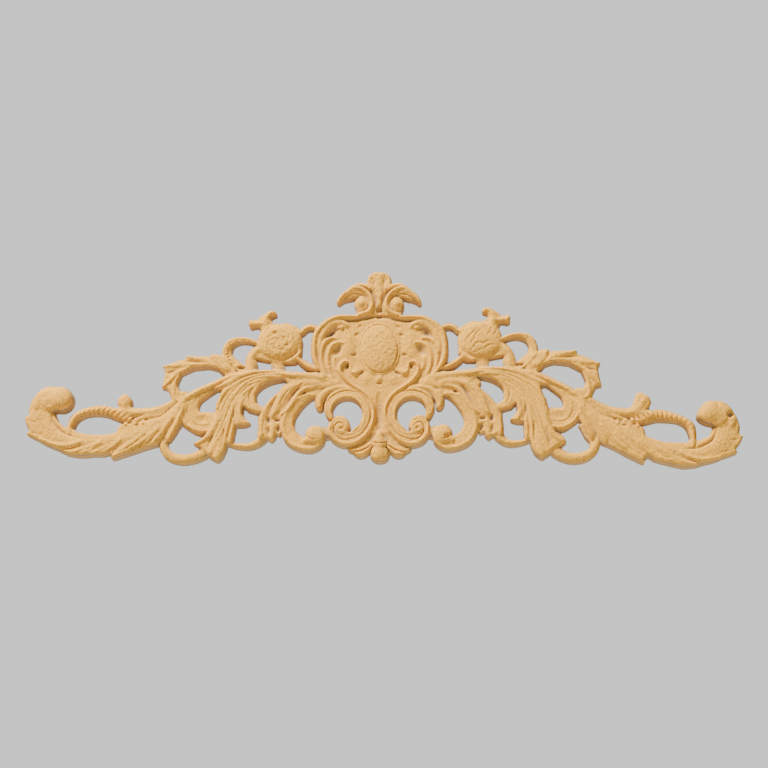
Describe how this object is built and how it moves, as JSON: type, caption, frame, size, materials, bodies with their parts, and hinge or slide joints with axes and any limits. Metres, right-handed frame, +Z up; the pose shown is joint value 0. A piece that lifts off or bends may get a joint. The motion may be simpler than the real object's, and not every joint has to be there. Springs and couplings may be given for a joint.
{
  "type": "openwork wood frieze moulding",
  "caption": "Long low openwork furniture moulding with scrolls, acanthus leaves and an oval boss, cast in one piece, flat behind.",
  "frame": {"origin": "on the flat back face, behind the axis of the ornament, at the level of the two long bands", "axes": "+X along the length, +Z up, -Y out of the wall through the carved front, +Y out of the flat back"},
  "size_m": [0.5082, 0.0151, 0.1431],
  "materials": {
    "moulded_wood": "matt, unfinished cast wood composite with a fine grain"
  },
  "bodies": {
    "root": {"frieze": "moulded_wood"}
  },
  "joints": []
}
